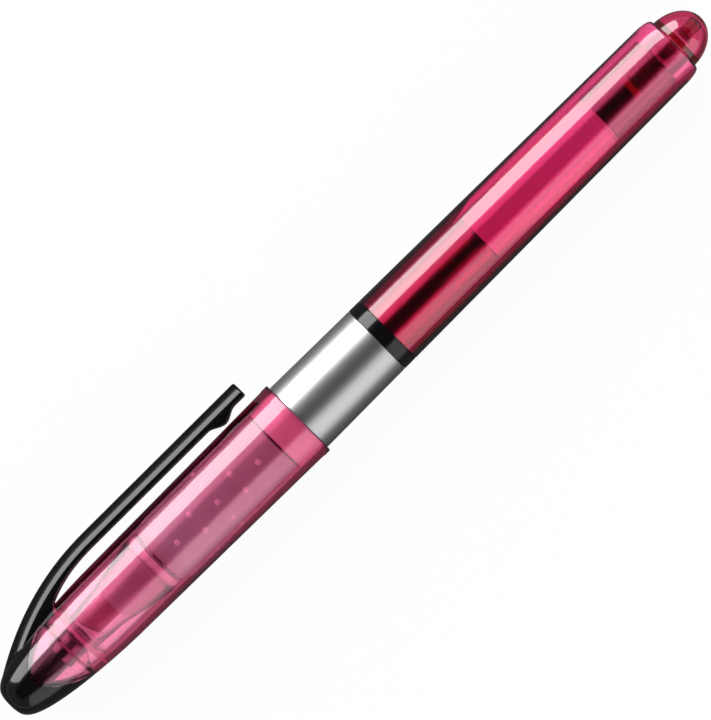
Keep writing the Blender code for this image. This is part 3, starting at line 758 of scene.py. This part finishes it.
def sealing_cup():
    start, end = front("inner_cap"), rear("inner_cap")
    neck = front("nib_holder") - CUP_NECK_AHEAD
    flange = radius("inner_cap")
    flange_end = start + CUP_FLANGE_LENGTH
    floor_end = start + CUP_END_WALL
    outer = [
        (start, 0.0), (start, flange), (flange_end, flange), (flange_end, CUP_RADIUS_FRONT),
        (neck, CUP_RADIUS_NECK), (end - CUP_MOUTH_LENGTH, CUP_RADIUS_MOUTH - CUP_MOUTH_TAPER),
        (end, CUP_RADIUS_MOUTH),
    ]
    inner = [
        (floor_end, 0.0), (floor_end, CUP_BORE_FRONT), (neck, CUP_BORE_NECK), (end, CUP_BORE_MOUTH)
    ]
    cup = turned("sealing_cup", outer + list(reversed(inner)), fillet=0.1)
    finished(cup, "cap", INNER_CLEAR, "inner_clear", "inner_cap")


# ---------------------------------------------------------------- writing end

def writing_nib():
    low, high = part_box("nib")
    deselect()
    bpy.ops.mesh.primitive_cube_add(size=1, location=(0, 0, 0))
    nib = bpy.context.object
    nib.name = "writing_nib"
    bpy.ops.object.mode_set(mode="EDIT")
    bpy.ops.transform.resize(value=(high - low))
    bpy.ops.transform.translate(value=(high + low) / 2)
    slant = Vector((high.y - low.y, -NIB_SLANT * MM, 0)).normalized()
    tip = Vector((low.x, high.y, AXIS_Z))
    bpy.ops.mesh.bisect(
        plane_co=tip, plane_no=(-slant.x, slant.y, 0), use_fill=True, clear_outer=True
    )
    bpy.ops.mesh.select_all(action="SELECT")
    bpy.ops.mesh.normals_make_consistent(inside=False)
    bpy.ops.object.mode_set(mode="OBJECT")
    applied(nib, "BEVEL", width=NIB_ROUND * MM, segments=5, limit_method="ANGLE")
    finished(nib, "pen", FELT_PINK, "felt_pink", "nib")


def nib_cone():
    mouth, end = front("nib_holder"), rear("nib_holder")
    base = front("nib_collar") - TOUCH
    outer = [
        (mouth, HOLDER_MOUTH_RADIUS), (mouth + HOLDER_LIP_LENGTH, HOLDER_LIP_RADIUS),
        (base - HOLDER_BASE_LENGTH, HOLDER_BASE_RADIUS - HOLDER_BASE_TAPER),
        (base, HOLDER_BASE_RADIUS), (base, HOLDER_SPIGOT_RADIUS), (end, HOLDER_SPIGOT_RADIUS),
    ]
    inner = [(mouth, HOLDER_BORE), (end, HOLDER_BORE)]
    cone = turned("nib_cone", ring_outline(inner, outer), fillet=EDGE_ROUND)
    finished(cone, "pen", HOLDER_PINK, "holder_pink", "nib_holder")


def band(name, inner, finish, slot, node):
    """A plain ring with the outside of its CAD node."""
    start, end, outer = front(node), rear(node), radius(node)
    outline = ring_outline([(start, inner), (end, inner)], [(start, outer), (end, outer)])
    finished(turned(name, outline, fillet=SMALL_ROUND), "pen", finish, slot, node)


def section_tube():
    start, end = front("front_section"), rear("front_section")
    shoulder = front("barrel") - SECTION_SHOULDER_AHEAD
    seat = front("metal_sleeve")
    tank = radius("ink_charge")
    outer = [
        (start, SECTION_GRIP_RADIUS), (seat, SECTION_GRIP_RADIUS), (seat, SECTION_SLEEVE_RADIUS),
        (shoulder, SECTION_SLEEVE_RADIUS), (shoulder, tank), (end, tank),
    ]
    inner = [(start, SECTION_BORE), (end, SECTION_BORE)]
    tube = turned("section_tube", ring_outline(inner, outer), fillet=SMALL_ROUND)
    finished(tube, "pen", SECTION_CRIMSON, "section_crimson", "front_section")


def grip():
    start, end = front("grip_sleeve"), rear("grip_sleeve")
    outer = [(start, GRIP_RADIUS), (end, GRIP_RADIUS)]
    inner = [(start, GRIP_BORE), (end, GRIP_BORE)]
    body = turned("grip", ring_outline(inner, outer), fillet=GRIP_ROUND, segments=5)
    finished(body, "pen", GRIP_GREY, "grip_grey", "grip_sleeve")

    middle = TIP_X + (start + end) / 2 * MM
    deselect()
    bpy.ops.mesh.primitive_uv_sphere_add(segments=20, ring_count=12, radius=MM, location=(0, 0, 0))
    nub = bpy.context.object
    bpy.ops.object.mode_set(mode="EDIT")
    bpy.ops.transform.resize(value=(NUB_ROOT, NUB_ROOT, NUB_HEIGHT * NUB_SQUASH))
    bpy.ops.transform.translate(value=(0, 0, (GRIP_RADIUS - NUB_HEIGHT * NUB_SINK) * MM))
    bpy.ops.mesh.select_all(action="SELECT")
    bpy.ops.mesh.bisect(
        plane_co=(0, 0, (GRIP_RADIUS - NUB_SUNK) * MM), plane_no=(0, 0, 1), use_fill=True,
        clear_inner=True, threshold=WELD,
    )
    bpy.ops.object.mode_set(mode="OBJECT")
    dots = []
    for cluster in range(NUB_CLUSTERS):
        for column, count in enumerate(NUB_DIAMOND):
            for row in range(count):
                turn = NUB_START + cluster * 360 / NUB_CLUSTERS
                turn += (row * 2 - (count - 1)) * NUB_TURN
                dot = nub.copy()
                dot.data = nub.data.copy()
                bpy.context.collection.objects.link(dot)
                along = middle + (column - len(NUB_DIAMOND) // 2) * NUB_PITCH * MM
                dot.rotation_euler = (math.radians(turn), 0, 0)
                dot.location = (along, AXIS_Y, AXIS_Z)
                dots.append(dot)
    bpy.data.objects.remove(nub, do_unlink=True)
    deselect()
    for dot in dots:
        dot.select_set(True)
    bpy.context.view_layer.objects.active = dots[0]
    bpy.ops.object.join()
    joined = bpy.context.object
    joined.name = "grip_dots"
    bpy.ops.object.transform_apply(location=True, rotation=True, scale=True)
    # The near-white finish of the nubs is a painted highlight.
    finished(joined, "pen", DOT_PAINTED_HIGHLIGHT, "grip_grey")


def silver_sleeve():
    """The sleeve, and the pale seat in front of it that the cap slides over."""
    seat, end = front("metal_sleeve"), front("trim_ring") - TOUCH
    step = CAP_LENGTH + SLEEVE_STEP_BACK
    outer = [(step, SEAT_RADIUS), (step, SLEEVE_FRONT_RADIUS), (end, SLEEVE_REAR_RADIUS)]
    inner = [(step, SLEEVE_BORE), (end, SLEEVE_BORE)]
    sleeve = turned("silver_sleeve", ring_outline(inner, outer), fillet=EDGE_ROUND)
    finished(sleeve, "pen", SILVER, "silver", "metal_sleeve")
    inner = [(seat, SLEEVE_BORE), (step - TOUCH, SLEEVE_BORE)]
    outer = [(seat, SEAT_RADIUS), (step - TOUCH, SEAT_RADIUS)]
    piece = turned("sleeve_seat", ring_outline(inner, outer), fillet=SEAT_ROUND)
    finished(piece, "pen", SEAT_PALE, "silver")


# ---------------------------------------------------------------- barrel and its contents

def barrel_tube():
    start, end = rear("trim_ring") + TOUCH, rear("barrel")
    outer_front = radius("barrel")
    outer_rear = outer_front - BARREL_TAPER
    bore = radius("ink_charge") + TOUCH
    round_start = end - BARREL_ROUND_LENGTH
    outer = [(start, outer_front)]
    for a in spread(0, QUARTER, 12):
        drop = BARREL_ROUND_DROP * (1 - math.cos(a))
        outer.append((round_start + BARREL_ROUND_LENGTH * math.sin(a), outer_rear - drop))
    back = end - BARREL_BACK_WALL
    inner = [(start, bore), (back, bore), (back, BARREL_NECK), (end, BARREL_NECK)]
    tube = turned("barrel_tube", ring_outline(inner, outer), fillet=BARREL_EDGE_ROUND)
    finished(tube, "pen", BARREL_MAGENTA, "barrel_magenta", "barrel")


def guide():
    """The bush round the wick, with a thinner tail in the tank."""
    start, end = front("wick_guide"), rear("wick_guide")
    outer = [
        (start, radius("wick_guide")), (GUIDE_STEP, radius("wick_guide")),
        (GUIDE_STEP, GUIDE_TAIL_RADIUS), (end, GUIDE_TAIL_RADIUS),
    ]
    inner = [(start, GUIDE_BORE), (end, GUIDE_BORE)]
    bush = turned("guide", ring_outline(inner, outer), FINE_STEPS, SMALL_ROUND)
    finished(bush, "pen", SECTION_CRIMSON, "section_crimson", "wick_guide")


def rod(name, start, end, size, finish, slot, node, fillet=0.1, steps=FINE_STEPS):
    outline = [(start, 0.0), (start, size), (end, size), (end, 0.0)]
    finished(turned(name, outline, steps, fillet), "pen", finish, slot, node)


def tank_contents():
    tank = radius("ink_charge")
    rod(
        "ink_body", rear("front_section") + TOUCH, front("tank_stopper") - TOUCH, tank,
        INK_PINK, "ink_pink", "ink_charge", 0.05, TURN_STEPS,
    )
    start, end = front("tank_stopper"), rear("tank_stopper")
    bore = radius("stopper_slug") + STOPPER_TO_SLUG
    bottom = start + STOPPER_FRONT_WALL
    outline = [(start, 0.0), (start, tank), (end, tank), (end, bore), (bottom, bore), (bottom, 0.0)]
    stopper = turned("stopper", outline, fillet=0.1)
    finished(stopper, "pen", STOPPER_CRIMSON, "section_crimson", "tank_stopper")
    rod(
        "slug", front("stopper_slug"), rear("stopper_slug"), radius("stopper_slug"),
        RUBBER_BLACK, "rubber_black", "stopper_slug", SLUG_ROUND,
    )


def ribbed_piece():
    start, end = front("ribbed_seal"), rear("ribbed_seal")
    size = radius("ribbed_seal")
    pitch = (end - start) / (RIB_COUNT - 1 + RIB_SHARE)
    outline = [(start, 0.0)]
    for rib in range(RIB_COUNT):
        first = start + rib * pitch
        last = first + pitch * RIB_SHARE
        outline += [(first, size), (last, size)]
        if rib < RIB_COUNT - 1:
            outline += [(last, size - RIB_GROOVE), (first + pitch, size - RIB_GROOVE)]
    outline.append((end, 0.0))
    piece = turned("ribbed_seal_piece", outline, FINE_STEPS, 0.06, 2)
    finished(piece, "pen", SEAL_CRIMSON, "seal_crimson", "ribbed_seal")


def end_dome():
    """The domed plug: a neck, a hollow dome, and a flared post inside it."""
    base = rear("barrel") + TOUCH
    tip = rear("end_plug")
    neck_front = front("end_plug")
    length = tip - base

    def bow(scale_x, scale_r, first, last, count):
        return [
            (base + scale_x * math.sin(a), scale_r * math.cos(a))
            for a in spread(first, last, count)
        ]

    outer = [(neck_front, DOME_NECK_RADIUS), (base, DOME_NECK_RADIUS)]
    outer += bow(length, DOME_RADIUS, 0, QUARTER, 30)[:-1]
    outer.append((tip, 0.0))
    room_length = length - DOME_WALL
    room_radius = DOME_RADIUS - DOME_WALL
    cavity = bow(
        room_length, room_radius, math.asin(DOME_BASE_WALL / room_length),
        math.acos(POST_RADIUS / room_radius), 18,
    )
    foot = base + POST_START
    bell = [
        (
            foot + POST_FLARE_LENGTH * (1 - math.cos(a)),
            POST_RADIUS + (POST_FLARE - POST_RADIUS) * (1 - math.sin(a)),
        )
        for a in spread(QUARTER, 0, 10)
    ]
    inner = [(neck_front, DOME_NECK_BORE), (base + DOME_BASE_WALL, DOME_NECK_BORE)]
    inner += cavity + bell + [(foot, 0.0)]
    dome = turned("end_dome", list(reversed(inner)) + outer, fillet=0.05, segments=2)
    finished(dome, "pen", PLUG_MAGENTA, "barrel_magenta", "end_plug")


cap_wall()
nose_and_clip()
nose_stud()
sealing_cup()
writing_nib()
nib_cone()
band("nib_ring", SECTION_BORE, HOLDER_PINK, "holder_pink", "nib_collar")
section_tube()
grip()
silver_sleeve()
band("black_ring", SLEEVE_BORE, GLOSS_BLACK, "gloss_black", "trim_ring")
barrel_tube()
rod(
    "wick", front("ink_wick"), rear("ink_wick"), radius("ink_wick"),
    WICK_CRIMSON, "wick_crimson", "ink_wick",
)
guide()
tank_contents()
ribbed_piece()
end_dome()

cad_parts["collector"].data.materials.clear()
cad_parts["collector"].data.materials.append(SECTION_CRIMSON)


# ---------------------------------------------------------------- floor, light and camera

FLOOR_SIZE = 3.0             # metres, as are the sizes and heights that follow
CARD_REACH = 0.25            # half of the cards' length along the pen
SIDE_CARD_GAP = 0.0054       # from the pen's axis to the near edge of a dark card beside it
SIDE_CARD_WIDTH = 0.012
SIDE_CARD_HEIGHT = 0.0005
APRON_HEIGHT = 0.0003
FAR_CARD_PAST = 6.0 * MM     # how far the far card goes past the section
APRON_WIDTH = 0.5
APRON_MIDDLE = 0.1
TOP_CARD_HEIGHT = 0.52
TOP_CARD_MIDDLE = 0.02
TOP_CARD_WIDTH = 0.64
TOP_CARD_LENGTH = 1.6
WORLD_STRENGTH = 0.2         # refracted rays see a white world instead
FLOOR_GLOW = 0.95            # plain white share of the floor, seen directly, mirrored or refracted
LAMP_DISTANCE = 0.5
SHEEN_DISTANCE = 0.49
# name, angle from straight above in degrees, distance, width, length, power, and how it's seen
LAMPS = (
    ("far_soft", 54, LAMP_DISTANCE, 0.56, 1.0, 4.2, "diffuse"),
    ("near_soft", -61, LAMP_DISTANCE, 0.46, 1.0, 2.5, "diffuse"),
    ("near_sheen", -61, SHEEN_DISTANCE, 0.46, 1.0, 1.3, "glossy"),
    ("highlight", 64, LAMP_DISTANCE, 0.40, 0.9, 6.0, "glossy"),
)
LENS = 200.0                 # millimetres
FRAME_HEIGHT = 0.10349       # of the photograph's frame, at the pen's axis
PHOTO_TILT = math.radians(44.84)
LOOK_AT = (0.00009, -0.00171, AXIS_Z)


def floor():
    deselect()
    bpy.ops.mesh.primitive_plane_add(size=FLOOR_SIZE, location=(0, 0, 0))
    plane = bpy.context.object
    plane.name = "floor"
    finish = Finish("floor_white", Roughness=0.9, Specular_IOR_Level=0.0)
    white = finish.blend(linear(250, 250, 250), linear(246, 246, 246), finish.noise(40))
    finish.set(Base_Color=white)
    path = finish.tree.nodes.new("ShaderNodeLightPath")
    either = Wire(finish, path.outputs["Is Camera Ray"])
    for ray in ("Is Glossy Ray", "Is Transmission Ray"):
        either = either.maths("MAXIMUM", either, Wire(finish, path.outputs[ray]))
    glow = finish.tree.nodes.new("ShaderNodeEmission")
    mix = finish.tree.nodes.new("ShaderNodeMixShader")
    finish.feed(mix.inputs["Fac"], either * FLOOR_GLOW)
    finish.tree.links.new(finish.shader.outputs["BSDF"], mix.inputs[1])
    finish.tree.links.new(glow.outputs["Emission"], mix.inputs[2])
    output = finish.tree.nodes["Material Output"]
    finish.tree.links.new(mix.outputs["Shader"], output.inputs["Surface"])
    plane.data.materials.append(finish.material)


def panel(name, angle, distance, width, length, power, seen):
    """A soft rectangular lamp beside the pen, which diffuse or glossy rays meet, as seen says."""
    turn = math.radians(angle)
    light = bpy.data.lights.new(name, "AREA")
    light.shape = "RECTANGLE"
    light.size = length
    light.size_y = width
    light.energy = power
    lamp = bpy.data.objects.new(name, light)
    bpy.context.scene.collection.objects.link(lamp)
    lamp.location = Vector((0, math.sin(turn), math.cos(turn))) * distance
    lamp.rotation_euler = (-turn, 0, 0)
    lamp.visible_camera = False
    if seen == "diffuse":
        lamp.visible_glossy = False
    else:
        lamp.visible_diffuse = False
        lamp.visible_transmission = False


def dark_card(name, length, width, place, colour):
    """A card that only reflected and refracted rays meet. It darkens the rims of clear plastic."""
    deselect()
    bpy.ops.mesh.primitive_plane_add(size=1, location=(0, 0, 0))
    card = bpy.context.object
    card.name = name
    card.scale = (length, width, 1)
    card.location = place
    finish = Finish(name, Roughness=1.0, Specular_IOR_Level=0.0)
    darker = [part * 0.8 for part in colour[:3]] + [1.0]
    finish.set(Base_Color=finish.blend(colour, darker, finish.noise(9)))
    card.data.materials.append(finish.material)
    card.visible_camera = False
    card.visible_diffuse = False
    card.visible_shadow = False
    return card


def studio():
    world = bpy.data.worlds.new("studio")
    bpy.context.scene.world = world
    world.use_nodes = True
    nodes, links = world.node_tree.nodes, world.node_tree.links
    nodes["Background"].inputs["Color"].default_value = (1, 1, 1, 1)
    path = nodes.new("ShaderNodeLightPath")
    strength = nodes.new("ShaderNodeMath")
    strength.operation = "MAXIMUM"
    links.new(path.outputs["Is Transmission Ray"], strength.inputs[0])
    strength.inputs[1].default_value = WORLD_STRENGTH
    links.new(strength.outputs["Value"], nodes["Background"].inputs["Strength"])
    for lamp in LAMPS:
        panel(*lamp)
    section_x = TIP_X + rear("front_section") * MM + FAR_CARD_PAST
    for name, side, end_x, colour in (
        ("near_card", -1, CARD_REACH, linear(176, 112, 136)),
        ("far_card", 1, section_x, linear(140, 88, 108)),
    ):
        offset = SIDE_CARD_GAP + SIDE_CARD_WIDTH / 2
        place = ((end_x - CARD_REACH) / 2, AXIS_Y + side * offset, SIDE_CARD_HEIGHT)
        card = dark_card(name, end_x + CARD_REACH, SIDE_CARD_WIDTH, place, colour)
        card.visible_glossy = False
    place = (0, APRON_MIDDLE, APRON_HEIGHT)
    apron = dark_card("apron", 2 * CARD_REACH, APRON_WIDTH, place, linear(98, 94, 97))
    apron.visible_transmission = False
    place = (0, TOP_CARD_MIDDLE, TOP_CARD_HEIGHT)
    dark_card("top_card", TOP_CARD_LENGTH, TOP_CARD_WIDTH, place, linear(40, 38, 40))


def camera():
    data = bpy.data.cameras.new("camera")
    data.lens = LENS
    made = bpy.data.objects.new("camera", data)
    bpy.context.scene.collection.objects.link(made)
    distance = FRAME_HEIGHT * LENS / data.sensor_width
    made.location = (LOOK_AT[0], LOOK_AT[1], LOOK_AT[2] + distance)
    made.rotation_euler = (0, 0, -PHOTO_TILT)
    data.clip_start = 0.01
    data.clip_end = 10
    bpy.context.scene.camera = made


floor()
studio()
camera()
bpy.context.scene.view_settings.view_transform = "Standard"
